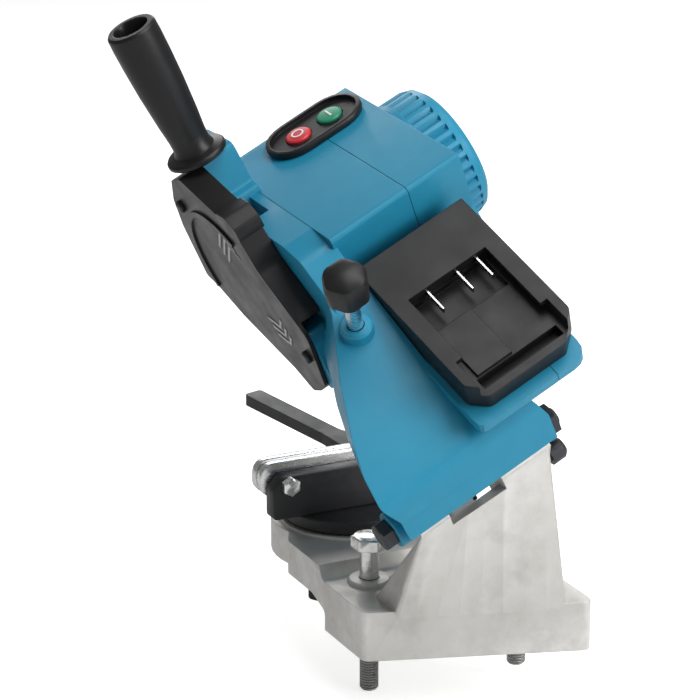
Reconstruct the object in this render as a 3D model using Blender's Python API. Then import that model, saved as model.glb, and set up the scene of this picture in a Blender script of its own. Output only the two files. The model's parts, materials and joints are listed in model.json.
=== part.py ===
"""Cordless bench grinder for saw chain: base with pillar, swinging motor head and swivelling chain vise.

World frame in metres: bench face at Z = 0, +X to the right, +Y towards the user, +Z up.
Lengths below are millimetres. The head pieces are written in the head frame (a, n, t):
a along the hinge and motor axes, n towards the user, t up and square to both.
"""
import math

import bmesh
import bpy
from mathutils import Matrix, Vector

MM = 0.001
GAP = 0.3

# driving dimensions
HINGE = (-16.5, -50.0, 93.8)
HEAD_TILT = 27.0
AXIS_N = 135.9
AXIS_T = 92.6
WHEEL_R = 50.0
WHEEL_W = 3.2
TABLE_X = -5.9
TABLE_Y = 82.1
PLATFORM_Z = 34.0
PLATFORM_R = 44.5
TABLE_R = 39.5
VISE_TOP = 73.0
BODY_A0 = 21.0
PART_A = 69.0
BODY_A1 = 102.0
CAP_A = 127.0
MOTOR_BORE_R = 34.0
EAR_L = -34.0
EAR_R = 59.0
EAR_LEAN = 0.3
CROWN_REAR = -5.5
CROWN_FRONT = -24.0
TOP_SLOPE = 5.23
TRAY_O = (24.4, 65.0, 103.0)
TRAY_PITCH = 30.33
TRAY_W = 67.4
STOP_AT = (6.0, 36.0, 86.0)
STOP_LEAN = 29.8
GRIP_AT = (5.0, 153.0, 161.2)
LEVER_HUB = (11.0, 104.0, 60.8)
LEVER_LEN = 92.0
LEVER_TURN = 107.0
LOCK_AT = (-30.0, 75.0)
VISE_SCREWS = (-51.0, 30.0)
CROSS_T = -17.4
BOLT_L = (-33.5, 5.0)
BOLT_R = (44.0, -15.0)

for old in list(bpy.data.objects):
    bpy.data.objects.remove(old, do_unlink=True)


def paint(name, colour, rough, metal=0.0):
    mat = bpy.data.materials.new(name)
    mat.use_nodes = True
    shader = mat.node_tree.nodes["Principled BSDF"]
    shader.inputs["Base Color"].default_value = (*colour, 1.0)
    shader.inputs["Roughness"].default_value = rough
    shader.inputs["Metallic"].default_value = metal
    return mat


BLUE = paint("blue_plastic", (0.030, 0.283, 0.473), 0.42)
BLACK = paint("black_plastic", (0.020, 0.020, 0.022), 0.38)
SATIN_BLACK = paint("black_coating", (0.028, 0.028, 0.030), 0.5)
CAST = paint("cast_aluminium", (0.62, 0.60, 0.56), 0.48, 0.85)
STEEL = paint("bright_steel", (0.72, 0.72, 0.72), 0.25, 1.0)
DARK_STEEL = paint("dark_steel", (0.045, 0.050, 0.060), 0.4, 0.7)
GRIT = paint("abrasive", (0.30, 0.25, 0.23), 0.95)
COPPER = paint("copper", (0.70, 0.34, 0.18), 0.35, 1.0)
RED = paint("red_button", (0.62, 0.03, 0.04), 0.35)
GREEN = paint("green_button", (0.02, 0.30, 0.16), 0.35)
BOARD = paint("circuit_green", (0.02, 0.16, 0.08), 0.5)


def empty(name, at, parent=None, turn=(0.0, 0.0, 0.0)):
    obj = bpy.data.objects.new(name, None)
    obj.empty_display_size = 0.02
    bpy.context.scene.collection.objects.link(obj)
    obj.location = [c * MM for c in at]
    obj.rotation_euler = [math.radians(c) for c in turn]
    obj.parent = parent
    return obj


head = empty("head_pivot", HINGE, None, (0.0, -HEAD_TILT, 0.0))
spindle = empty("spindle_axis", (0.0, AXIS_N, AXIS_T), head)
swivel = empty("vise_pivot", (TABLE_X, TABLE_Y, 0.0))


def solid(name, bm, mat, parent=None, at=(0.0, 0.0, 0.0), up=(0, 0, 1), side=(1, 0, 0),
          round_piece=False):
    """Links the mesh in bm, local millimetres, with its local +Z along up and its +X near side."""
    bmesh.ops.recalc_face_normals(bm, faces=bm.faces)
    bmesh.ops.scale(bm, vec=(MM, MM, MM), verts=bm.verts)
    if bm.calc_volume(signed=True) < 0:
        bmesh.ops.reverse_faces(bm, faces=bm.faces)
    mesh = bpy.data.meshes.new(name)
    bm.to_mesh(mesh)
    bm.free()
    mesh.polygons.foreach_set("use_smooth", [round_piece] * len(mesh.polygons))
    mesh.set_sharp_from_angle(angle=math.radians(35))
    if mat is not None:
        mesh.materials.append(mat)
    obj = bpy.data.objects.new(name, mesh)
    bpy.context.scene.collection.objects.link(obj)
    z = Vector(up).normalized()
    y = z.cross(Vector(side)).normalized()
    x = y.cross(z)
    turn = Matrix((x, y, z)).transposed()
    obj.rotation_euler = turn.to_euler()
    obj.location = [c * MM for c in at]
    obj.parent = parent
    return obj


def fillet(points, radius, steps=3):
    """The outline with every corner rounded; radius is one number or one per corner."""
    radii = radius if isinstance(radius, (list, tuple)) else [radius] * len(points)
    out = []
    for i, point in enumerate(points):
        p = Vector(point)
        before = Vector(points[i - 1]) - p
        after = Vector(points[(i + 1) % len(points)]) - p
        angle = before.angle(after)
        if radii[i] <= 0 or angle > math.radians(172):
            out.append(p)
            continue
        reach = min(radii[i] / math.tan(angle / 2), 0.49 * before.length, 0.49 * after.length)
        start = p + before.normalized() * reach
        end = p + after.normalized() * reach
        for k in range(steps + 1):
            u = k / steps
            out.append(start * (1 - u) ** 2 + p * (2 * u * (1 - u)) + end * u ** 2)
    return [(q[0], q[1]) for q in out]


def prism_mesh(outline, lo, hi, along):
    bm = bmesh.new()
    rings = []
    for level in (lo, hi):
        ring = []
        for p, q in outline:
            spot = {"x": (level, p, q), "y": (p, level, q), "z": (p, q, level)}[along]
            ring.append(bm.verts.new(spot))
        rings.append(ring)
    count = len(outline)
    for i in range(count):
        j = (i + 1) % count
        bm.faces.new((rings[0][i], rings[0][j], rings[1][j], rings[1][i]))
    bm.faces.new(rings[0])
    bm.faces.new(rings[1])
    return bm


def prism(name, outline, lo, hi, along, mat, bevel=0.0, **place):
    bm = prism_mesh(outline, lo, hi, along)
    if bevel:
        bmesh.ops.recalc_face_normals(bm, faces=bm.faces)
        sharp = [e for e in bm.edges if e.calc_face_angle() > math.radians(40)]
        bmesh.ops.bevel(bm, geom=sharp, offset=bevel, segments=2, profile=0.5, affect="EDGES")
    return solid(name, bm, mat, **place)


def box(name, lo, hi, mat, bevel=0.0, **place):
    outline = [(lo[0], lo[1]), (hi[0], lo[1]), (hi[0], hi[1]), (lo[0], hi[1])]
    return prism(name, outline, lo[2], hi[2], "z", mat, bevel, **place)


def circle(x, y, r, count=32, start=0.0, sweep=360.0):
    steps = count if sweep == 360.0 else count - 1
    spots = [math.radians(start + sweep * k / steps) for k in range(count)]
    return [(x + r * math.cos(s), y + r * math.sin(s)) for s in spots]


def ring_radius(r, shape, angle):
    if shape == "hex":
        turn = (angle + math.pi / 6) % (math.pi / 3) - math.pi / 6
        return r / math.cos(turn)
    if shape == "lobed":
        return r * (1.0 + 0.045 * math.cos(6 * angle))
    if shape == "square":
        turn = (angle + math.pi / 4) % (math.pi / 2) - math.pi / 4
        return min(r / math.cos(turn), r * 1.25)
    return r


def turned(name, rings, mat, count=32, hollow=False, **place):
    """A body of revolution about local Z from (z, radius) or (z, radius, shape) rings."""
    bm = bmesh.new()
    rows = []
    for ring in rings:
        z, r = ring[0], ring[1]
        shape = ring[2] if len(ring) > 2 else None
        if r == 0:
            rows.append([bm.verts.new((0, 0, z))])
            continue
        row = []
        for k in range(count):
            s = 2 * math.pi * k / count
            reach = ring_radius(r, shape, s)
            if shape == "ribbed" and k % 3 == 0:
                reach = r - 2.2
            row.append(bm.verts.new((reach * math.cos(s), reach * math.sin(s), z)))
        rows.append(row)
    pairs = list(zip(rows, rows[1:]))
    if hollow:
        pairs.append((rows[-1], rows[0]))
    for low, high in pairs:
        for k in range(count):
            j = (k + 1) % count
            if len(low) == 1:
                bm.faces.new((low[0], high[j], high[k]))
            elif len(high) == 1:
                bm.faces.new((low[k], low[j], high[0]))
            else:
                bm.faces.new((low[k], low[j], high[j], high[k]))
    if not hollow:
        for row in (rows[0], rows[-1]):
            if len(row) > 1:
                bm.faces.new(row)
    return solid(name, bm, mat, round_piece=True, **place)


def tube(name, path, r, mat, sides=6, **place):
    """A round wire along path, with flat ends."""
    bm = bmesh.new()
    rows = []
    spots = [Vector(p) for p in path]
    normal = None
    for i, spot in enumerate(spots):
        way = (spots[min(i + 1, len(spots) - 1)] - spots[max(i - 1, 0)]).normalized()
        if normal is None:
            normal = way.orthogonal().normalized()
        normal = (normal - way * normal.dot(way)).normalized()
        other = way.cross(normal)
        row = []
        for k in range(sides):
            s = 2 * math.pi * k / sides
            row.append(bm.verts.new(spot + normal * (r * math.cos(s)) + other * (r * math.sin(s))))
        rows.append(row)
    for low, high in zip(rows, rows[1:]):
        for k in range(sides):
            j = (k + 1) % sides
            bm.faces.new((low[k], low[j], high[j], high[k]))
    bm.faces.new(rows[0])
    bm.faces.new(rows[-1])
    return solid(name, bm, mat, **place)


def loft_mesh(low, high):
    bm = bmesh.new()
    rings = [[bm.verts.new(p) for p in ring] for ring in (low, high)]
    count = len(low)
    for i in range(count):
        j = (i + 1) % count
        bm.faces.new((rings[0][i], rings[0][j], rings[1][j], rings[1][i]))
    bm.faces.new(rings[0])
    bm.faces.new(rings[1])
    return bm


def combine(target, tool, how):
    tool.hide_render = True
    tool.display_type = "WIRE"
    step = target.modifiers.new(tool.name, "BOOLEAN")
    step.operation = how
    step.solver = "EXACT"
    step.object = tool
    return target


def cut(target, tool):
    return combine(target, tool, "DIFFERENCE")


def join(target, tool):
    return combine(target, tool, "UNION")


def keep(target, tool):
    return combine(target, tool, "INTERSECT")


def from_head(a, n, t):
    """A head-frame point in world millimetres, head at rest."""
    c, s = math.cos(math.radians(HEAD_TILT)), math.sin(math.radians(HEAD_TILT))
    return (HINGE[0] + a * c - t * s, HINGE[1] + n, HINGE[2] + a * s + t * c)


def between(start, end, count):
    """Evenly spaced points from start to end, both included."""
    return [tuple(Vector(start).lerp(Vector(end), k / (count - 1))) for k in range(count)]


ALONG_A = {"parent": head, "up": (1, 0, 0), "side": (0, 1, 0)}
ON_SPINDLE = {"parent": spindle, "up": (1, 0, 0), "side": (0, 1, 0)}

# ---- base casting: block, platform, pillar with two hinge lugs, stop ledge ----
plan = [(-55, -32), (59, -70.6), (59, 34)]
plan += circle(TABLE_X, TABLE_Y, PLATFORM_R, 23, -14.0, 208.0)
plan += [(-55, 60)]
base = prism("base_casting", fillet(plan, [5, 5, 14] + [0] * 23 + [10]), 0, PLATFORM_Z, "z", CAST)
UNDERCUT = fillet([(14, -9), (14, 10.6), (30, 15.5), (190, 15.5), (190, -9)], [0, 4, 5, 0, 0])
cut(base, prism("cut_front", UNDERCUT, -90, 90, "x", None))
REAR_STEP = fillet([(-90, 27), (17, 27), (22, 34.6), (22, 60), (-90, 60)], [0, 3, 0, 0, 0])
cut(base, prism("cut_rear_top", REAR_STEP, -90, 90, "x", None))
for side, belly in (("left", [(-49, -28), (-4, -43.2), (-4, 7.5), (-49, 7.5)]),
                    ("right", [(4, -46.0), (53, -62.5), (53, 7.5), (4, 7.5)])):
    cut(base, prism("cut_belly_" + side, fillet(belly, 4), -5, 21, "z", None))
foot = between((-40, -37.0, 23), (45.5, -66.0, 23), 9) + between((45.5, -31, 23), (-40, -10, 23), 9)
crown = between(from_head(-28, -13, CROWN_REAR), from_head(54.4, -13, CROWN_REAR), 9)
crown += between(from_head(54.4, 13, CROWN_FRONT), from_head(-28, 13, CROWN_FRONT), 9)
pillar_mesh = loft_mesh(foot, crown)
bmesh.ops.recalc_face_normals(pillar_mesh, faces=pillar_mesh.faces)
upright = [e for e in pillar_mesh.edges
           if abs(e.verts[0].co.z - e.verts[1].co.z) > 18 and e.calc_face_angle() > math.radians(35)]
bmesh.ops.bevel(pillar_mesh, geom=upright, offset=2.2, segments=3, profile=0.5, affect="EDGES")
join(base, solid("add_pillar", pillar_mesh, None))
LUG = [(2, -34), (-12.9, CROWN_REAR), (-12.3, -4)] + circle(0, 0, 12, 13, 190.0, -200.0)
LUG += [(12, -4), (12.8, CROWN_FRONT + 4), (8, -34)]
lug_mesh = prism_mesh(LUG, -23.5, -9, "x")
for corner in lug_mesh.verts:
    if corner.co.x < -20:
        corner.co.x += 0.9 * EAR_LEAN * corner.co.y
join(base, solid("add_lug_left", lug_mesh, None, parent=head))
lug_mesh = prism_mesh(LUG, 24, 55.0, "x")
for corner in lug_mesh.verts:
    if corner.co.x > 50 and corner.co.z < -30:
        corner.co.x -= 7.5
join(base, solid("add_lug_right", lug_mesh, None, parent=head))
cut(base, box("cut_spring_bay", (-9, -30, -11.5), (24, 30, 30), None, parent=head))
LEDGE = fillet([(4, -19.5), (4, -36), (58, -27), (80, -27), (80, -9), (66, -9), (60, -19)],
               [0, 0, 6, 4, 3, 3, 5])
join(base, prism("add_stop_ledge", LEDGE, -1, 13, "x", None, parent=head))
for side, spot in (("left", BOLT_L), ("right", BOLT_R)):
    join(base, turned("add_boss_" + side, [(20, 12.5), (28.5, 11.5), (29.5, 10.5)], None, 24,
                      at=(*spot, 0)))
    cut(base, turned("cut_bolt_" + side, [(-5, 5.5), (60, 5.5)], None, 20, at=(*spot, 0)))
join(base, turned("add_table_seat", [(30, 41.5), (34.4, 41.5), (35.2, 40.7)], None, 40,
                  at=(TABLE_X, TABLE_Y, 0)))
cut(base, turned("cut_table_bore", [(10, 8.0), (60, 8.0)], None, 24, at=(TABLE_X, TABLE_Y, 0)))
cut(base, turned("cut_lock_hole", [(10, 3.4), (60, 3.4)], None, 16, at=(*LOCK_AT, 0)))
cut(base, turned("cut_cross_bore", [(40, 4.3), (90, 4.3)], None, 20, parent=head, at=(0, 0, CROSS_T),
                 up=(1, 0, 0),
                 side=(0, 1, 0)))
cut(base, turned("cut_hinge_bore", [(-60, 5.05), (90, 5.05)], None, 24, **ALONG_A))

turned("cross_bolt", [(42, 4.0), (55.4, 4.0), (55.4, 6.0), (62.7, 6.0), (64.7, 4.4)], DARK_STEEL, 24,
       parent=head, at=(0, 0, CROSS_T), up=(1, 0, 0), side=(0, 1, 0))
turned("hinge_bolt",
       [(EAR_L - 9.4, 6.2), (EAR_L - 8.6, 7.0, "hex"), (EAR_L - 2.6, 7.0, "hex"), (EAR_L - 2.6, 5.0),
        (EAR_R + 8.4, 5.0), (EAR_R + 9, 4.4)], DARK_STEEL, 24, **ALONG_A)
turned("hinge_nut", [(EAR_R + GAP, 11.0), (EAR_R + 1.8, 11.0), (EAR_R + 1.8, 8.0, "hex"),
                     (EAR_R + 6.6, 8.0, "hex"),
                     (EAR_R + 7.4, 7.2), (EAR_R + 7.4, 5.3), (EAR_R + GAP, 5.3)],
       DARK_STEEL, 24, hollow=True, **ALONG_A)
coil = [(13.0, 8.0, -18.6), (13.0, 8.0, -8.0)]
for step in range(0, 12 * 5 + 4):
    turn = 2 * math.pi * step / 12
    coil.append((13.0 - 19.0 * step / 63, 8 * math.cos(turn), 8 * math.sin(turn)))
coil += [(-6.2, -5.0, 8.0), (-6.2, -9.3, 8.0)]
tube("return_spring", coil, 1.2, DARK_STEEL, 6, parent=head)

for side, spot, low, top in (("left", BOLT_L, -33.7, 46.5), ("right", BOLT_R, -26.0, 46.5)):
    turned("mount_bolt_" + side,
           [(low, 4.0), (low + 1.2, 5.0), (top, 5.0), (top, 8.5, "hex"), (top + 5.8, 8.5, "hex"),
            (top + 6.6, 8.0)],
           STEEL, 24, at=(*spot, 0))

# ---- chain vise on its turntable ----
turned("turntable",
       [(12.5, 7.0), (13.5, 7.7), (35.5, 7.7), (35.5, 30.0), (36.1, 30.0), (36.1, TABLE_R - 0.8),
        (37.0, TABLE_R), (42.6, TABLE_R), (43.4, TABLE_R - 0.8)], SATIN_BLACK, 40, parent=swivel)
IN_VISE = {"parent": swivel, "at": (-TABLE_X, -TABLE_Y, 0)}
cheek = fillet([(-60.5, 43.8), (-60.5, 61), (-54, 67.6), (38, 67.6), (40, 62), (40, 43.8)],
               [3, 6, 6, 3, 2, 2])
vise = prism("vise_body", cheek, 66, 75.7, "y", SATIN_BLACK, 0.8, **IN_VISE)
join(vise, box("add_vise_foot", (-45, 70, 43.8), (36, 97.5, 51.5), None, **IN_VISE))
RAIL = fillet([(-63.5, 53.5), (-63.5, VISE_TOP), (46, VISE_TOP), (46, 53.5)], [9.7, 9.7, 5, 5], 6)
rail_fixed = prism("rail_fixed", RAIL, 76.0, 80.7, "y", STEEL, 0.6, **IN_VISE)
rail_movable = prism("rail_movable", RAIL, 83.5, 88.2, "y", STEEL, 0.6, **IN_VISE)
for number, x in enumerate(VISE_SCREWS):
    spot = {"parent": swivel, "at": (x - TABLE_X, 65.6 - TABLE_Y, 63.0), "up": (0, -1, 0),
            "side": (1, 0, 0)}
    hole = turned("cut_vise_screw_%d" % (number + 1), [(-40, 2.9), (10, 2.9)], None, 16, **spot)
    for piece in (vise, rail_fixed, rail_movable):
        cut(piece, hole)
    turned("vise_screw_%d" % (number + 1), [(-27, 2.0), (-26.4, 2.5), (0, 2.5), (0, 4.6, "hex"),
                                            (3.6, 4.6, "hex"),
                                            (4.2, 4.0)], STEEL, 24, **spot)
turned("clamp_post", [(43.7, 6.0), (55.0, 6.0), (55.0, 3.0), (66.8, 3.0), (67.4, 2.5)], STEEL, 20,
       parent=swivel, at=(LEVER_HUB[0] - TABLE_X, LEVER_HUB[1] - TABLE_Y, 0))
lever_pin = empty("lever_pivot", (LEVER_HUB[0] - TABLE_X, LEVER_HUB[1] - TABLE_Y, LEVER_HUB[2]), swivel,
                  (0.0, 0.0, LEVER_TURN))
bar = fillet([(-9, -7), (4, -9), (26, -6), (LEVER_LEN, -6), (LEVER_LEN, 6), (26, 6), (6, 9), (-7, 9)],
             [6, 6, 10, 2, 2, 10, 6, 6])
lever_mesh = prism_mesh(bar, -3.2, 3.2, "z")
for corner in lever_mesh.verts:
    corner.co.z += 0.10 * max(0.0, corner.co.x - 12.0)
lever = solid("clamp_lever", lever_mesh, SATIN_BLACK, parent=lever_pin)
cut(lever, turned("cut_lever_eye", [(-10, 3.3), (10, 3.3)], None, 20, parent=lever_pin))
turned("swivel_lock",
       [(-9, 4.6, "lobed"), (-8, 5.4, "lobed"), (12, 5.4, "lobed"), (13, 4.8), (13, 2.9), (34.0, 2.9),
        (34.8, 2.2)], BLACK, 24, at=(*LOCK_AT, 0))

# ---- head: left housing half with the arm ----
TOP_L = (57.5, 124.6)
BODY = fillet([TOP_L, (181, 135.9), (185, 126), (185, 72), (172, 53), (70, 52), (64, 60), (70, 89.4)],
              [2.5, 5, 10, 16, 14, 4, 4, 3], 4)
left = prism("housing_left", BODY, BODY_A0, PART_A, "x", BLUE, parent=head)
NECK = fillet([(44, 93.6), (52, 84), (66, 76), (66, 51.5), (82, 53), (160, 56), (178, 70), (186, 118),
               (187, 150), (180, 160), (146, 160.2), (145, 136.5), (138.5, 135.2), (137.5, 124),
               (118.5, 123), (117.5, 129.95), (98, 128.15), (78, 126.3), (62, 121.5), (52, 107)],
              [0, 0, 0, 6, 4, 14, 16, 10, 6, 6, 4, 2, 2, 3, 3, 1.5, 10, 12, 10, 10], 3)
join(left, prism("add_neck", NECK, 3.0, BODY_A0 + 2, "x", None, parent=head))
NECK_TOP = [(112, 118), (146, 120), (146, 132.55), (112, 129.44)]
join(left, prism("add_neck_top", NECK_TOP, 15.5, BODY_A0 + 3, "x", None, parent=head))
SIDE = fillet([(-16.5, -1.6), (-18, 8), (-22, 25), (44, 94), (66, 118), (82, 110), (82, 74), (52, 62),
               (6, 20),
               (11.5, 4), (9, -6), (0, -10.7)], [1.5, 0, 10, 0, 0, 0, 6, 8, 8, 6, 5, 3], 3)
arm = prism("add_arm", SIDE, EAR_L - 14, EAR_R, "x", None, parent=head)
LEFT_EDGE = [(EAR_L + 5.1, -20), (EAR_L + 5.1, 12), (-35.0, 26), (-35.5, 39), (-32.5, 53),
             (-29.0, 62), (-25.5, 72),
             (-19.0, 84), (-13.0, 96), (-8, 130)]


def front_prism(name, outline, reach):
    """A prism along n whose sides lean to the right as they go forward."""
    bm = prism_mesh(outline, -80, 160, "y")
    for corner in bm.verts:
        if corner.co.x < 15:
            corner.co.x += reach * corner.co.y
    return solid(name, bm, None, parent=head)


RIGHT_EDGE = [(24, 130), (24, 50), (52, 46), (53, 30), (EAR_R, 14), (EAR_R, -20)]
arm_front = fillet(LEFT_EDGE + RIGHT_EDGE, [0, 6] + [8] * 6 + [0] * 3 + [3, 6, 6, 6, 0], 2)
keep(arm, front_prism("trim_arm", arm_front, EAR_LEAN))
join(arm, turned("add_ear_boss", [(EAR_L - 2.3, 9.2), (EAR_L - 1.5, 10.0), (EAR_L + 10, 10.0)], None,
                 28,
                 **ALONG_A))
HOLLOW = [(-13.2, -40), (-14.6, 8), (-18.2, 23.4), (47, 90), (70, 90), (70, 56), (140, 45), (140, -40)]
hollow = prism("cut_arm_hollow", fillet(HOLLOW, [0, 0, 8, 6, 4, 0, 0, 0], 3), EAR_L - 6, EAR_R - 3.4,
               "x", None,
               parent=head)
INNER = [(a + 3.6, t) for a, t in LEFT_EDGE[:7]] + [(-14, 86), (-9, 92), (18, 92), (18, 50)]
INNER += [(48.6, 42), (49.6, 29), (EAR_R - 3.4, 13.5), (EAR_R - 3.4, -60)]
INNER[0] = (INNER[0][0], -60)
keep(hollow, front_prism("trim_hollow", INNER, EAR_LEAN))
cut(arm, hollow)
cut(arm, box("trim_arm_top", (-60, 61.2, 82), (2.7, 200, 200), None, parent=head))
cut(arm, box("trim_arm_side", (-60, 61.2, -60), (-9.4, 200, 200), None, parent=head))
join(left, arm)
SHELF_Y = (-115.0, 5.0)


def on_tray(x, y, z):
    """A tray-frame point in head coordinates."""
    c, s = math.cos(math.radians(TRAY_PITCH)), math.sin(math.radians(TRAY_PITCH))
    return (TRAY_O[0] + x, TRAY_O[1] + y * c - z * s, TRAY_O[2] + y * s + z * c)


TRAY = {"parent": head, "at": TRAY_O, "up": on_tray(-TRAY_O[0], 0, 1), "side": (1, 0, 0)}
TRAY["up"] = tuple(p - q for p, q in zip(on_tray(0, 0, 1), TRAY_O))
SEAM = PART_A - TRAY_O[0]
join(left, prism("add_shelf_left", fillet([(-3.5, SHELF_Y[0]), (SEAM, SHELF_Y[0]), (SEAM, SHELF_Y[1]),
                                           (-3.5, SHELF_Y[1])],
                                          [5, 0, 0, 0]), -16.5, -10.3, "z", None, **TRAY))
STOP_UP = (0.0, -math.sin(math.radians(STOP_LEAN)), math.cos(math.radians(STOP_LEAN)))
STOP = {"parent": head, "at": STOP_AT, "up": STOP_UP, "side": (1, 0, 0)}
join(left, turned("add_stop_boss", [(-12, 9.0), (3.2, 8.6), (4.6, 7.6)], None, 24, **STOP))
LOBE = fillet([(66.5, 50), (66.5, 76), (70, 82), (81.5, 82), (81.5, 46), (76, 44)],
              [5, 4, 3, 0, 0, 4], 3)
lug = prism("add_guard_lug", LOBE, -9.4, 14, "x", None, parent=head)
join(left, lug)
cut(left, turned("cut_lug_hole", [(-2, 1.5), (12, 1.5)], None, 12, parent=head, at=(-4.5, 60, 66),
                 up=(0, 1, 0)))

MOTOR = {"parent": spindle, "up": (1, 0, 0), "side": (0, 1, 0)}
cut(left, turned("cut_motor_left", [(BODY_A0 + 3.5, 26), (BODY_A0 + 6, MOTOR_BORE_R),
                                    (90, MOTOR_BORE_R)], None, 40, **MOTOR))
cut(left, turned("cut_bearing_seat", [(-6, 18.5), (6.6, 18.5), (6.6, 7.5), (9, 7.5), (9, 13.05),
                                      (40, 13.05)],
                 None, 24, **MOTOR))
POCKET = fillet([(69, 62), (76, 118), (98, 121), (98, 57), (72, 57)], 2)
cut(left, prism("cut_pocket_left", POCKET, 27, 90, "x", None, parent=head))
cut(left, turned("cut_ear_bore", [(-60, 5.35), (90, 5.35)], None, 24, **ALONG_A))
cut(left, turned("cut_stop_bore", [(-60, 4.6), (20, 4.6)], None, 20, **STOP))
stud_bore = turned("cut_stud_bore", [(-17, 5.4), (20, 5.4)], None, 16, parent=head, at=GRIP_AT)
cut(left, stud_bore)

SLOPE = math.radians(TOP_SLOPE)
SWITCH = {"parent": head, "at": (70.5, 159.0, 133.9), "up": (0, -math.sin(SLOPE), math.cos(SLOPE)),
          "side": (1, 0, 0)}


def stadium(half, r, count=13):
    return circle(half, 0, r, count, -90.0, 180.0) + circle(-half, 0, r, count, 90.0, 180.0)


switch_pocket = prism("cut_switch_left", stadium(11.5, 13.5), -7.5, 20, "z", None, **SWITCH)
cut(left, switch_pocket)

# ---- head: right housing half, rear cap ----
right = prism("housing_right", BODY, PART_A + GAP, BODY_A1, "x", BLUE, parent=head)
join(right, prism("add_shelf_right", fillet([(SEAM + GAP, SHELF_Y[0]), (64.5, SHELF_Y[0]),
                                             (66.0, SHELF_Y[1]),
                                             (SEAM + GAP, SHELF_Y[1])], [0, 14, 3, 0], 4), -16.5,
                  -10.3, "z", None, **TRAY))
cut(right, turned("cut_motor_right", [(40, MOTOR_BORE_R), (140, MOTOR_BORE_R)], None, 40, **MOTOR))
cut(right, prism("cut_pocket_right", POCKET, 50, 97, "x", None, parent=head))
cut(right, switch_pocket)
cap = turned("rear_cap",
             [(BODY_A1 + GAP, 38.6), (BODY_A1 + 3.2, 38.6), (BODY_A1 + 3.8, 38.6, "ribbed"),
              (CAP_A - 7.5, 38.4, "ribbed"),
              (CAP_A - 6.7, 38.0), (CAP_A - 3.0, 36.8), (CAP_A, 33.0)], BLUE, 108, **MOTOR)
cut(cap, turned("cut_cap", [(90, 33.4), (CAP_A - 6.0, 33.4), (CAP_A - 4.2, 31.0), (CAP_A - 4.2, 14.0),
                            (CAP_A - 12, 12.6),
                            (CAP_A - 12, 9.4), (CAP_A - 3.5, 9.4), (CAP_A - 3.5, 13.0),
                            (CAP_A + 9, 13.0)],
                None, 32, **MOTOR))
turned("cap_plug", [(CAP_A - 3.1, 12.6), (CAP_A - 0.4, 12.6), (CAP_A, 12.0)], BLUE, 24, **MOTOR)

# ---- motor and spindle ----
turned("stator", [(36, 25.5), (36, 33.4), (88, 33.4), (88, 25.5)], DARK_STEEL, 28, hollow=True, **MOTOR)
turned("bearing_front", [(10, 5.35), (10, 12.7), (18, 12.7), (18, 5.35)], STEEL, 20, hollow=True,
       **MOTOR)
turned("bearing_rear", [(CAP_A - 11.6, 5.35), (CAP_A - 11.6, 9.1), (CAP_A - 4.2, 9.1),
                        (CAP_A - 4.2, 5.35)], STEEL, 20,
       hollow=True, **MOTOR)
turned("rotor_shaft", [(-9.6, 4.2), (-9.0, 5.0), (CAP_A - 4.4, 5.0), (CAP_A - 4.0, 4.4)], STEEL, 24,
       **ON_SPINDLE)
turned("rotor_core", [(42, 5.3), (42, 24.6), (82, 24.6), (82, 5.3)], DARK_STEEL, 24, hollow=True,
       **ON_SPINDLE)
turned("commutator", [(90, 5.3), (90, 10.5), (103, 10.5), (103, 5.3)], COPPER, 24, hollow=True,
       **ON_SPINDLE)
fan = turned("cooling_fan", [(28, 5.3), (28, 9.0), (29.5, 22.0), (31.5, 22.0), (33.5, 9.0),
                             (33.5, 5.3)], BLACK, 24,
             hollow=True, **ON_SPINDLE)
turned("flange_inner", [(6.0, 5.3), (6.0, 17.0), (1.9, 17.0), (1.9, 10.7), (-1.3, 10.7), (-1.3, 5.3)],
       STEEL, 24,
       hollow=True, **ON_SPINDLE)
turned("flange_outer", [(-1.9, 5.3), (-1.9, 17.0), (-3.4, 17.0), (-5.0, 14.0), (-5.0, 5.3)], STEEL,
       24, hollow=True,
       **ON_SPINDLE)
turned("arbor_nut", [(-5.3, 5.3), (-5.3, 8.5, "hex"), (-9.2, 8.5, "hex"), (-9.2, 5.3)], DARK_STEEL,
       24, hollow=True,
       **ON_SPINDLE)
turned("grinding_wheel", [(-WHEEL_W / 2, 11.1), (-WHEEL_W / 2, WHEEL_R - 1.0), (-0.6, WHEEL_R),
                          (0.6, WHEEL_R),
                          (WHEEL_W / 2, WHEEL_R - 1.0), (WHEEL_W / 2, 11.1)], GRIT, 44, hollow=True,
       **ON_SPINDLE)

# ---- wheel guard ----
RIM = [(25, 62), (41, 45), (50, 25), (55, -10), (45, -13), (24, -27), (1, -37), (-22, -47),
       (-35, -57), (-49, -52),
       (-60, -45), (-73, -9), (-47.5, 24.5), (-42, 51), (-25, 55), (10, 67)]
ROUND = [8, 8, 8, 3, 4, 6, 6, 6, 4, 4, 6, 10, 10, 8, 8, 8]
guard_outline = [(AXIS_N + p, AXIS_T + q) for p, q in RIM]
guard = prism("wheel_guard", fillet(guard_outline, ROUND, 3), -12.0, 2.3, "x", BLACK, parent=head)
MIDDLE = Vector((AXIS_N - 6, AXIS_T + 8))
WALL = 2.0


def inset(points, depth):
    """The outline moved inwards by depth, corner by corner."""
    out = []
    for i, point in enumerate(points):
        p = Vector(point)
        one = (p - Vector(points[i - 1])).normalized()
        two = (Vector(points[(i + 1) % len(points)]) - p).normalized()
        way = Vector((one.y, -one.x)) + Vector((two.y, -two.x))
        way.normalize()
        lean = max(0.35, way.dot(Vector((two.y, -two.x))))
        out.append(tuple(p + way * (depth / lean)))
    return out


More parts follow.
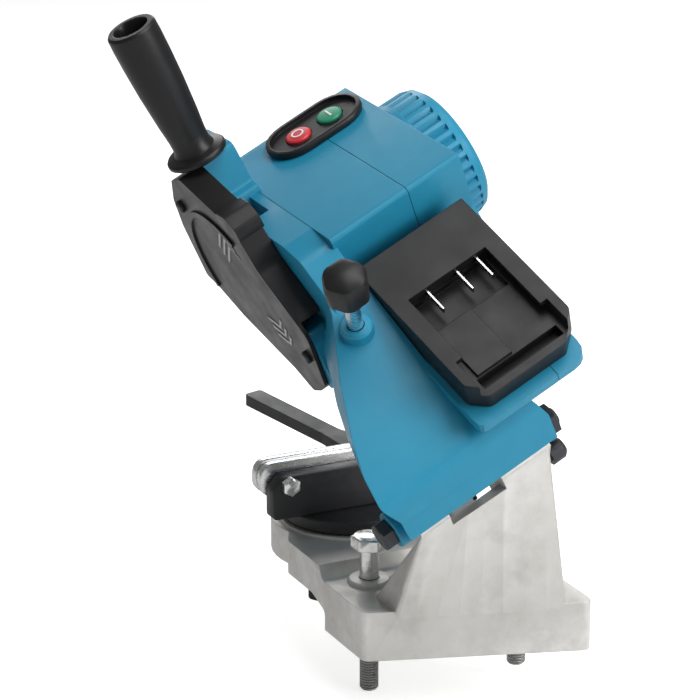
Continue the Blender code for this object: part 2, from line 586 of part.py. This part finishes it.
inner_outline = inset(guard_outline, WALL)
cut(guard, prism("cut_guard_inside", fillet(inner_outline, ROUND, 3), -9.8, 12.0, "x", None,
                 parent=head))
cut(guard, stud_bore)
cut(guard, box("cut_guard_tail", (-9.8, 40, 30), (12, 82.2, 90), None, parent=head))
MOUTH = [(AXIS_N + p, AXIS_T + q) for p, q in
         ((40, -2), (52.8, -4), (70, -6), (70, -60), (-18, -80), (-34, -62), (-33, -50), (-22, -42),
          (1, -32), (22, -23))]
cut(guard, prism("cut_guard_mouth", MOUTH, -9.8, 12.0, "x", None, parent=head))
CLIP = [(AXIS_N + p, AXIS_T + q) for p, q in ((-48, 44), (-48, 52), (-41, 57.5), (-30, 57.5),
                                              (-27, 52), (-36, 44))]
join(guard, prism("add_guard_clip", fillet(CLIP, 2, 2), -13.0, 2.3, "x", None, parent=head))
RIDGE = circle(AXIS_N - 1, AXIS_T + 3, 45, 17, -20.0, 150.0) + circle(AXIS_N - 1, AXIS_T + 3, 41.5,
                                                                      17, 130.0, -150.0)
join(guard, prism("add_guard_ridge", RIDGE, -13.2, -11.0, "x", None, parent=head))
for number, (n, t) in enumerate(((AXIS_N + 30, AXIS_T + 44), (AXIS_N - 58, AXIS_T - 26))):
    turned("guard_screw_%d" % (number + 1), [(0, 3.6), (1.6, 3.6), (2.4, 2.6)], DARK_STEEL, 16,
           parent=head, at=(-12.3, n, t), up=(-1, 0, 0), side=(0, 1, 0))

# ---- handle ----
GRIP = {"parent": head, "at": GRIP_AT, "up": (0, 0, 1), "side": (1, 0, 0)}
turned("handle_grip",
       [(0, 12.0), (0, 15.6), (0.8, 16.6), (2.6, 16.6), (3.6, 15.8), (5.0, 11.5), (8.0, 10.2),
        (14, 10.4),
        (24, 11.4), (44, 12.8),
        (60, 13.4), (72, 13.6), (79, 13.4), (80.4, 12.4), (80.4, 9.8), (79.0, 9.2), (22, 8.2),
        (18, 7.6), (10, 5.0), (3, 5.0)],
       BLACK, 28, hollow=True, **GRIP)
turned("handle_stud", [(-16.4, 4.2), (-15.8, 4.7), (20, 4.7), (20, 6.0, "hex"), (26, 6.0, "hex")],
       STEEL, 24, **GRIP)

# ---- depth stop: lobed knob on a plain rod ----
turned("stop_rod", [(-61.5, 3.4), (-60.5, 4.25), (40.0, 4.25)], STEEL, 24, **STOP)
turned("stop_knob", [(40.4, 0), (40.4, 4.6), (26.0, 4.6), (26.0, 7.6), (30.0, 9.0),
                     (31.5, 11.0, "lobed"),
                     (43.5, 11.6, "lobed"), (47.0, 10.4, "lobed"), (49.0, 7.0), (49.4, 0)], BLACK, 30,
       **STOP)

# ---- switch ----
bezel = prism("switch_bezel", stadium(12.0, 17.0, 12), GAP, 4.2, "z", BLACK, 0.9, **SWITCH)
cut(bezel, prism("cut_bezel_face", stadium(12.0, 14.4, 12), 1.9, 12, "z", None, **SWITCH))
for name, shift, mat in (("off_button", -10.2, RED), ("on_button", 10.2, GREEN)):
    spot = [SWITCH["at"][0] + shift, SWITCH["at"][1], SWITCH["at"][2]]
    place = {"parent": head, "at": spot, "up": SWITCH["up"], "side": (1, 0, 0)}
    cut(bezel, turned("cut_" + name, [(-3, 7.6), (9, 7.6)], None, 20, **place))
    turned(name, [(-3.5, 6.2), (-3.5, 7.2), (2.9, 7.2), (3.6, 6.4), (3.9, 4.0)], mat, 20, **place)

# ---- battery tray and its three blades ----
tray_outline = fillet([(0, -100), (8, -108.5), (TRAY_W - 12, -108.5), (TRAY_W, -98), (TRAY_W, -9),
                       (0, -9)],
                      [4, 4, 5, 5, 1, 1])
tray = prism("battery_tray", tray_outline, -10.0, 7.5, "z", BLACK, **TRAY)
cut(tray, box("cut_tray_channel", (5.2, -130, 0), (TRAY_W - 5.2, -41, 30), None, **TRAY))
cut(tray, box("cut_latch", (9, -103.5, -6), (TRAY_W - 9, -97, 4), None, **TRAY))
cut(tray, box("cut_tray_pocket", (12, -62, -4), (56, -41.2, 1), None, **TRAY))
join(tray, box("add_tray_floor", (10.5, -96, -1), (32, -62.4, 1.8), None, **TRAY))
for side, x0, x1 in (("left", 4.0, 9.4), ("right", TRAY_W - 9.4, TRAY_W - 4.0)):
    join(tray, box("add_rail_" + side, (x0, -86, 4.6), (x1, -38, 7.5), None, **TRAY))
for number, a in enumerate((45.0, 63.5, 76.0)):
    x = a - TRAY_O[0]
    cut(tray, box("cut_blade_%d" % (number + 1), (x - 0.8, -60, 1.0), (x + 0.8, -24, 5.6), None,
                  **TRAY))
    box("contact_blade_%d" % (number + 1), (x - 0.5, -55.5, 1.4), (x + 0.5, -24.4, 5.2), STEEL, **TRAY)
box("circuit_board", (38, 79, 66), (92, 81, 114), BOARD, parent=head)
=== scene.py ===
"""Looks of the cordless saw chain sharpener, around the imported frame. Metres, +Z up, +Y to the user."""
import json
import math

import bmesh
import bpy
from mathutils import Matrix, Vector


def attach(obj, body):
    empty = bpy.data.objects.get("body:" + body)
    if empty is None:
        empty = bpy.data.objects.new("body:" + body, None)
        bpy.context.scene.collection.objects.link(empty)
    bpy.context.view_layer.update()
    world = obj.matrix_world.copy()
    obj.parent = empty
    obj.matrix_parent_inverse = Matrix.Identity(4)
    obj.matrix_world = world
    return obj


MM = 0.001

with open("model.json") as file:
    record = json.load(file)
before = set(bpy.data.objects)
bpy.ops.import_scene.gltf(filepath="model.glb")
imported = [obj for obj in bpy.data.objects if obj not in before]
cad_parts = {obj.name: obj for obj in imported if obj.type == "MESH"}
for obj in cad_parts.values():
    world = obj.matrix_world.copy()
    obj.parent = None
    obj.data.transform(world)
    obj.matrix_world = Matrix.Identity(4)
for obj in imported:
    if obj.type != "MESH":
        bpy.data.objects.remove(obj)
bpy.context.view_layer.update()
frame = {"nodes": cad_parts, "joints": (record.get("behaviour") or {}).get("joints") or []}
nodes = frame["nodes"]

# The head's own axes at rest, from its hinge: along the hinge, towards the user, and square to both.
swing = next(joint for joint in frame["joints"] if joint["name"] == "head_swing")
HINGE = Vector(swing["pos_m"])
ALONG = Vector(swing["axis"])
TOWARDS = Vector((0.0, 1.0, 0.0))
UPWARDS = ALONG.cross(TOWARDS)


def from_head(a, n, t):
    """World position of a head-frame point given in millimetres, head at rest."""
    return HINGE + (ALONG * a + TOWARDS * n + UPWARDS * t) * MM


# ---- materials ----
class Shade:
    """A small builder for one procedural material."""

    def __init__(self, name, colour, rough, metal=0.0):
        self.mat = bpy.data.materials.new(name)
        self.mat.use_nodes = True
        self.tree = self.mat.node_tree
        self.shader = self.tree.nodes["Principled BSDF"]
        self.shader.inputs["Base Color"].default_value = (*colour, 1.0)
        self.shader.inputs["Roughness"].default_value = rough
        self.shader.inputs["Metallic"].default_value = metal
        self.shader.inputs["Specular IOR Level"].default_value = 0.35
        self.colour = None
        self.rough = None
        self.base = (*colour, 1.0)
        self.normal = self.node("ShaderNodeBevel", {"Radius": 0.0007})
        self.normal.samples = 4
        self.link(self.normal.outputs[0], self.shader.inputs["Normal"])
        self.where = self.node("ShaderNodeTexCoord").outputs["Object"]

    def node(self, kind, values=None):
        made = self.tree.nodes.new(kind)
        for key, value in (values or {}).items():
            made.inputs[key].default_value = value
        return made

    def link(self, a, b):
        self.tree.links.new(a, b)

    def maths(self, operation, first, second=None):
        """One maths step. second is another output or a plain number."""
        made = self.node("ShaderNodeMath")
        made.operation = operation
        self.link(first, made.inputs[0])
        if isinstance(second, (int, float)):
            made.inputs[1].default_value = second
        elif second is not None:
            self.link(second, made.inputs[1])
        return made.outputs[0]

    def noise(self, scale, detail=4.0, stretch=None):
        made = self.node("ShaderNodeTexNoise", {"Scale": scale, "Detail": detail, "Roughness": 0.6})
        source = self.where
        if stretch is not None:
            mapping = self.node("ShaderNodeMapping")
            mapping.inputs["Scale"].default_value = stretch
            self.link(source, mapping.inputs["Vector"])
            source = mapping.outputs[0]
        self.link(source, made.inputs["Vector"])
        return made.outputs[0]

    def ramp(self, value, low, high, start=0.3, end=0.7):
        limits = {"From Min": start, "From Max": end, "To Min": low, "To Max": high}
        made = self.node("ShaderNodeMapRange", limits)
        self.link(value, made.inputs["Value"])
        return made.outputs[0]

    def tint(self, factor, colour):
        """Mixes the base colour towards colour by factor."""
        mix = self.node("ShaderNodeMix")
        mix.data_type = "RGBA"
        self.link(factor, mix.inputs["Factor"])
        if self.colour is None:
            mix.inputs[6].default_value = self.base
        else:
            self.link(self.colour, mix.inputs[6])
        mix.inputs[7].default_value = (*colour, 1.0)
        self.colour = mix.outputs[2]
        self.link(self.colour, self.shader.inputs["Base Color"])
        return self

    def roughness(self, value):
        self.link(value, self.shader.inputs["Roughness"])
        return self

    def bump(self, height, strength, distance=0.0002):
        made = self.node("ShaderNodeBump", {"Strength": strength, "Distance": distance})
        self.link(height, made.inputs["Height"])
        self.link(self.normal.outputs[0], made.inputs["Normal"])
        self.link(made.outputs[0], self.shader.inputs["Normal"])
        self.normal = made
        return self

    def edge_wear(self, colour, amount):
        """Lightens the convex edges a little, broken up by noise."""
        points = self.node("ShaderNodeNewGeometry").outputs["Pointiness"]
        edge = self.ramp(points, 0.0, amount, 0.52, 0.60)
        broken = self.maths("MULTIPLY", edge, self.ramp(self.noise(90.0), 0.2, 1.0))
        return self.tint(broken, colour)


def plastic(name, colour, lighter, darker, rough, grain):
    made = Shade(name, colour, rough)
    made.tint(made.ramp(made.noise(14.0, 3.0), 0.0, 0.35), lighter)
    made.tint(made.ramp(made.noise(5.0, 2.0), 0.0, 0.30), darker)
    made.edge_wear(lighter, 0.55)
    made.roughness(made.ramp(made.noise(60.0, 5.0), rough - 0.06, rough + 0.09))
    made.bump(made.noise(1400.0, 2.0), grain, 0.00006)
    made.bump(made.noise(22.0, 2.0), 0.05, 0.0006)
    return made.mat


def metal(name, colour, darker, rough, brushed=(1.0, 1.0, 18.0), metallic=1.0):
    made = Shade(name, colour, rough, metallic)
    made.tint(made.ramp(made.noise(26.0, 4.0), 0.0, 0.45), darker)
    made.edge_wear(tuple(min(1.0, c * 1.3) for c in colour), 0.6)
    made.roughness(made.ramp(made.noise(160.0, 3.0, brushed), rough - 0.07, rough + 0.12))
    made.bump(made.noise(420.0, 2.0, brushed), 0.10, 0.00004)
    return made.mat


def cast_metal(name):
    made = Shade(name, (0.66, 0.645, 0.615), 0.46, 0.55)
    made.tint(made.ramp(made.noise(9.0, 5.0), 0.0, 0.55, 0.35, 0.7), (0.50, 0.485, 0.455))
    made.tint(made.ramp(made.noise(42.0, 6.0), 0.0, 0.5, 0.52, 0.72), (0.40, 0.385, 0.36))
    made.edge_wear((0.86, 0.85, 0.82), 0.8)
    made.roughness(made.ramp(made.noise(70.0, 4.0), 0.36, 0.62))
    made.bump(made.noise(30.0, 4.0), 0.22, 0.0007)
    made.bump(made.noise(520.0, 3.0), 0.45, 0.00014)
    return made.mat


def threaded(name, colour, low, high, pitch):
    """Bright plated steel with thread turns between two heights, the thread valleys darkened with painted
    shade.
    """
    made = Shade(name, colour, 0.28, 1.0)
    made.tint(made.ramp(made.noise(60.0), 0.0, 0.4), tuple(c * 0.6 for c in colour))
    made.roughness(made.ramp(made.noise(200.0), 0.2, 0.42))
    split = made.node("ShaderNodeSeparateXYZ")
    made.link(made.where, split.inputs[0])
    height = split.outputs[2]
    turns = made.maths("SINE", made.maths("MULTIPLY", height, 2 * math.pi / pitch))
    below_top = made.maths("LESS_THAN", height, high)
    above_end = made.maths("GREATER_THAN", height, low)
    cut = made.maths("MULTIPLY", turns, made.maths("MULTIPLY", below_top, above_end))
    # painted shade: the thread valleys are darkened towards 0.22 of the steel colour
    made.tint(made.ramp(cut, 0.75, 0.0, -1.0, 0.0), tuple(c * 0.22 for c in colour))
    made.bump(cut, 0.9, 0.0006)
    return made.mat


def abrasive(name):
    made = Shade(name, (0.34, 0.20, 0.17), 0.95)
    made.tint(made.ramp(made.noise(900.0, 2.0), 0.0, 0.8, 0.45, 0.6), (0.55, 0.42, 0.38))
    made.tint(made.ramp(made.noise(500.0, 2.0), 0.0, 0.8, 0.55, 0.65), (0.10, 0.06, 0.05))
    made.bump(made.noise(900.0, 3.0), 0.8, 0.0003)
    return made.mat


# colour, lighter mottle, darker mottle, roughness, grain
BLUE = plastic("moulded_blue", (0.014, 0.235, 0.385), (0.022, 0.275, 0.43),
               (0.010, 0.20, 0.345), 0.40, 0.18)
BLACK = plastic("moulded_black", (0.009, 0.009, 0.010), (0.019, 0.019, 0.020),
                (0.005, 0.005, 0.006), 0.38, 0.22)
RUBBERED = plastic("grip_black", (0.008, 0.008, 0.009), (0.014, 0.014, 0.015),
                   (0.005, 0.005, 0.005), 0.36, 0.10)
COATED = plastic("black_coat", (0.022, 0.022, 0.024), (0.055, 0.055, 0.060),
                 (0.012, 0.012, 0.013), 0.44, 0.35)
RED = plastic("button_red", (0.60, 0.022, 0.030), (0.75, 0.06, 0.07),
              (0.40, 0.01, 0.02), 0.32, 0.05)
GREEN = plastic("button_green", (0.012, 0.24, 0.13), (0.03, 0.34, 0.20),
                (0.008, 0.16, 0.09), 0.32, 0.05)
WHITE = plastic("mark_white", (0.80, 0.80, 0.80), (0.9, 0.9, 0.9),
                (0.62, 0.62, 0.62), 0.45, 0.05)
MARK_GREY = plastic("mark_grey", (0.50, 0.50, 0.50), (0.62, 0.62, 0.62),
                    (0.30, 0.30, 0.30), 0.55, 0.15)
BOARD = plastic("circuit_board_green", (0.02, 0.16, 0.08), (0.04, 0.22, 0.12),
                (0.01, 0.10, 0.05), 0.45, 0.2)
BOLT_END_Z = -0.034
THREAD_TOP_Z = 0.030
THREAD_PITCH = 0.0015
CAST = cast_metal("sand_cast_aluminium")
CHROME = metal("plated_steel", (0.78, 0.78, 0.78), (0.50, 0.50, 0.51), 0.22)
DARK = metal("blackened_steel", (0.060, 0.062, 0.068), (0.030, 0.030, 0.032), 0.40, metallic=0.6)
COPPER = metal("bare_copper", (0.72, 0.36, 0.22), (0.45, 0.20, 0.12), 0.35)
THREADED = threaded("bolt_thread", (0.76, 0.76, 0.75), BOLT_END_Z, THREAD_TOP_Z, THREAD_PITCH)
GRIT = abrasive("bonded_abrasive")

FINISH = {
    BLUE: ["housing_left", "housing_right", "rear_cap", "cap_plug"],
    BLACK: ["wheel_guard", "stop_knob", "switch_bezel", "battery_tray", "cooling_fan", "swivel_lock"],
    RUBBERED: ["handle_grip"],
    COATED: ["turntable", "vise_body", "clamp_lever"],
    CAST: ["base_casting"],
    CHROME: ["rail_fixed", "rail_movable", "vise_screw_1", "vise_screw_2", "clamp_post", "bearing_front",
             "bearing_rear", "rotor_shaft", "flange_inner", "flange_outer", "handle_stud", "stop_rod",
             "contact_blade_1", "contact_blade_2", "contact_blade_3"],
    DARK: ["hinge_bolt", "hinge_nut", "cross_bolt", "return_spring", "guard_screw_1", "guard_screw_2",
           "stator", "rotor_core", "arbor_nut"],
    GRIT: ["grinding_wheel"],
    COPPER: ["commutator"],
    RED: ["off_button"],
    GREEN: ["on_button"],
    BOARD: ["circuit_board"],
    THREADED: ["mount_bolt_left", "mount_bolt_right"],
}


WELD = 0.000002
SHARP = math.radians(33)


def smoothing_group():
    """Rounds the shading of shallow angles and keeps the sharp ones."""
    group = bpy.data.node_groups.new("smooth_by_angle", "GeometryNodeTree")
    group.interface.new_socket("Geometry", in_out="INPUT", socket_type="NodeSocketGeometry")
    group.interface.new_socket("Geometry", in_out="OUTPUT", socket_type="NodeSocketGeometry")
    start = group.nodes.new("NodeGroupInput")
    end = group.nodes.new("NodeGroupOutput")
    weld = group.nodes.new("GeometryNodeMergeByDistance")
    weld.inputs["Distance"].default_value = WELD
    faces = group.nodes.new("GeometryNodeSetShadeSmooth")
    faces.domain = "FACE"
    edges = group.nodes.new("GeometryNodeSetShadeSmooth")
    edges.domain = "EDGE"
    edges.inputs["Shade Smooth"].default_value = False
    angle = group.nodes.new("GeometryNodeInputMeshEdgeAngle")
    compare = group.nodes.new("FunctionNodeCompare")
    compare.data_type = "FLOAT"
    compare.operation = "GREATER_THAN"
    compare.inputs["B"].default_value = SHARP
    group.links.new(start.outputs[0], weld.inputs["Geometry"])
    group.links.new(weld.outputs[0], faces.inputs["Geometry"])
    group.links.new(faces.outputs[0], edges.inputs["Geometry"])
    group.links.new(angle.outputs["Unsigned Angle"], compare.inputs["A"])
    group.links.new(compare.outputs["Result"], edges.inputs["Selection"])
    group.links.new(edges.outputs[0], end.inputs[0])
    return group


SMOOTH = smoothing_group()
for finish, names in FINISH.items():
    for name in names:
        obj = nodes[name]
        obj.data.materials.clear()
        obj.data.materials.append(finish)
        if "custom_normal" in obj.data.attributes:
            obj.data.attributes.remove(obj.data.attributes["custom_normal"])
        step = obj.modifiers.new("smooth", "NODES")
        step.node_group = SMOOTH


# ---- small printed marks ----
def piece(name, bm, mat, body):
    """Makes an object of the mesh, which rides on this body."""
    bmesh.ops.recalc_face_normals(bm, faces=bm.faces)
    mesh = bpy.data.meshes.new(name)
    bm.to_mesh(mesh)
    bm.free()
    mesh.materials.append(mat)
    obj = bpy.data.objects.new(name, mesh)
    bpy.context.scene.collection.objects.link(obj)
    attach(obj, body)
    return obj


def slab(bm, outline, origin, x_dir, y_dir, low, high):
    """Adds a thin flat plate with this outline, millimetres in the plane of x_dir and y_dir."""
    z_dir = x_dir.cross(y_dir).normalized()
    rings = []
    for level in (low, high):
        spots = [origin + (x_dir * p + y_dir * q + z_dir * level) * MM for p, q in outline]
        rings.append([bm.verts.new(spot) for spot in spots])
    count = len(outline)
    for i in range(count):
        j = (i + 1) % count
        bm.faces.new((rings[0][i], rings[0][j], rings[1][j], rings[1][i]))
    bm.faces.new(rings[0])
    bm.faces.new(rings[1])


# The switch sits on the body's sloping top, each button to one side of its centre.
SWITCH_CENTRE = from_head(70.5, 159.0, 133.9)
SWITCH_SLOPE = math.radians(5.23)
SWITCH_X = ALONG
SWITCH_Z = UPWARDS * math.cos(SWITCH_SLOPE) - TOWARDS * math.sin(SWITCH_SLOPE)
SWITCH_Y = SWITCH_Z.cross(SWITCH_X)
BUTTON_SHIFT = 10.2
MARK_LOW = 3.95
MARK_HIGH = 4.2


def on_switch(x, y, z=0.0):
    """World position of a point given in millimetres from the middle of the switch."""
    return SWITCH_CENTRE + (SWITCH_X * x + SWITCH_Y * y + SWITCH_Z * z) * MM


def ring_mark(centre_x, inner, outer, count=32):
    """A flat ring on the button at centre_x."""
    bm = bmesh.new()
    rows = []
    for z in (MARK_LOW, MARK_HIGH):
        for r in (inner, outer):
            turns = [2 * math.pi * k / count for k in range(count)]
            spots = [on_switch(centre_x + r * math.cos(turn), r * math.sin(turn), z) for turn in turns]
            rows.append([bm.verts.new(spot) for spot in spots])
    for low, high in ((0, 1), (1, 3), (3, 2), (2, 0)):
        for k in range(count):
            j = (k + 1) % count
            bm.faces.new((rows[low][k], rows[low][j], rows[high][j], rows[high][k]))
    return bm


def bar_mark(centre_x, half_width, half_length):
    """A flat bar on the button at centre_x."""
    bm = bmesh.new()
    outline = [(-half_width, -half_length), (half_width, -half_length), (half_width, half_length),
               (-half_width, half_length)]
    slab(bm, outline, on_switch(centre_x, 0), SWITCH_X, SWITCH_Y, MARK_LOW, MARK_HIGH)
    return bm


piece("off_mark", ring_mark(-BUTTON_SHIFT, 2.6, 3.6), WHITE, "off_switch")
piece("on_mark", bar_mark(BUTTON_SHIFT, 0.6, 3.4), WHITE, "on_switch")

GUARD_FACE = -12.05
STRIPE_DEPTH = 0.25
STRIPE_SHARE = 0.42


def arrow_stripes(bm, tip, step, arms):
    """Three arrow stripes on the guard's outer face, each one step further on."""
    thick = Vector(step) * STRIPE_SHARE
    for k in range(3):
        start = Vector(tip) + Vector(step) * k
        left, right = (start + Vector(arm) for arm in arms)
        shape = [start, left, left + thick, start + thick, right + thick, right]
        slab(bm, [tuple(q) for q in shape], from_head(GUARD_FACE, 0, 0), TOWARDS, UPWARDS,
             -STRIPE_DEPTH, 0.0)


stripes = bmesh.new()
arrow_stripes(stripes, (120.3, 134.3), (-1.6, -4.3), ((14.5, -14.0), (-7.7, -5.0)))
arrow_stripes(stripes, (97.0, 67.0), (1.3, 5.0), ((13.5, 2.0), (-6.0, 6.5)))
piece("guard_marks", stripes, MARK_GREY, "head")

# ---- stage: pale floor, soft lights, camera ----
FLOOR_Z = -0.0345
FLOOR_HALF = 6
FLOOR_GLOW = 0.7
WHITE_LIGHT = (1.0, 1.0, 1.0, 1.0)


def floor_material():
    """A pale floor that looks lighter to the camera than to the object, so that it burns out softly."""
    pale = bpy.data.materials.new("pale_floor")
    pale.use_nodes = True
    tree = pale.node_tree
    shader = tree.nodes["Principled BSDF"]
    shader.inputs["Base Color"].default_value = (0.80, 0.80, 0.80, 1.0)
    shader.inputs["Roughness"].default_value = 0.9
    shader.inputs["Emission Color"].default_value = WHITE_LIGHT
    seen = tree.nodes.new("ShaderNodeLightPath")
    glow = tree.nodes.new("ShaderNodeMath")
    glow.operation = "MULTIPLY"
    glow.inputs[1].default_value = FLOOR_GLOW
    tree.links.new(seen.outputs["Is Camera Ray"], glow.inputs[0])
    tree.links.new(glow.outputs[0], shader.inputs["Emission Strength"])
    return pale


floor = bmesh.new()
for x, y in ((-1, -1), (1, -1), (1, 1), (-1, 1)):
    floor.verts.new((x * FLOOR_HALF, y * FLOOR_HALF, FLOOR_Z))
floor.faces.new(floor.verts)
floor_mesh = bpy.data.meshes.new("floor")
floor.to_mesh(floor_mesh)
floor.free()
floor_mesh.materials.append(floor_material())
ground = bpy.data.objects.new("floor", floor_mesh)
bpy.context.scene.collection.objects.link(ground)

world = bpy.data.worlds.new("studio")
bpy.context.scene.world = world
world.use_nodes = True
backdrop = world.node_tree.nodes["Background"]
backdrop.inputs["Color"].default_value = WHITE_LIGHT
backdrop.inputs["Strength"].default_value = 0.22


def lamp(name, spot, aim, size, power):
    data = bpy.data.lights.new(name, "AREA")
    data.size = size
    data.energy = power
    obj = bpy.data.objects.new(name, data)
    bpy.context.scene.collection.objects.link(obj)
    obj.location = spot
    obj.rotation_euler = (Vector(aim) - Vector(spot)).to_track_quat("-Z", "Y").to_euler()


lamp("key", (0.85, -1.2, 0.80), (0, 0, 0.12), 0.8, 17)
lamp("top", (0.1, -0.35, 1.5), (0, 0, 0.12), 1.0, 14)
lamp("front", (0.4, 1.3, 0.9), (0, 0, 0.15), 0.8, 6)

AZIMUTH = math.radians(-26)
ELEVATION = math.radians(18)
FOCAL_LENGTH = 154.3
SENSOR_WIDTH = 36.0
CAMERA_SPOT = (-0.6810, -1.2996, 0.6276)

lens = bpy.data.cameras.new("camera")
lens.sensor_width = SENSOR_WIDTH
lens.lens = FOCAL_LENGTH
camera = bpy.data.objects.new("camera", lens)
bpy.context.scene.collection.objects.link(camera)
level = math.cos(ELEVATION)
back = Vector((math.sin(AZIMUTH) * level, -math.cos(AZIMUTH) * level, math.sin(ELEVATION)))
right = Vector((math.cos(AZIMUTH), math.sin(AZIMUTH), 0.0))
turn = Matrix((right, back.cross(right), back)).transposed().to_4x4()
turn.translation = Vector(CAMERA_SPOT)
camera.matrix_world = turn
bpy.context.scene.camera = camera
bpy.context.scene.view_settings.view_transform = "Standard"
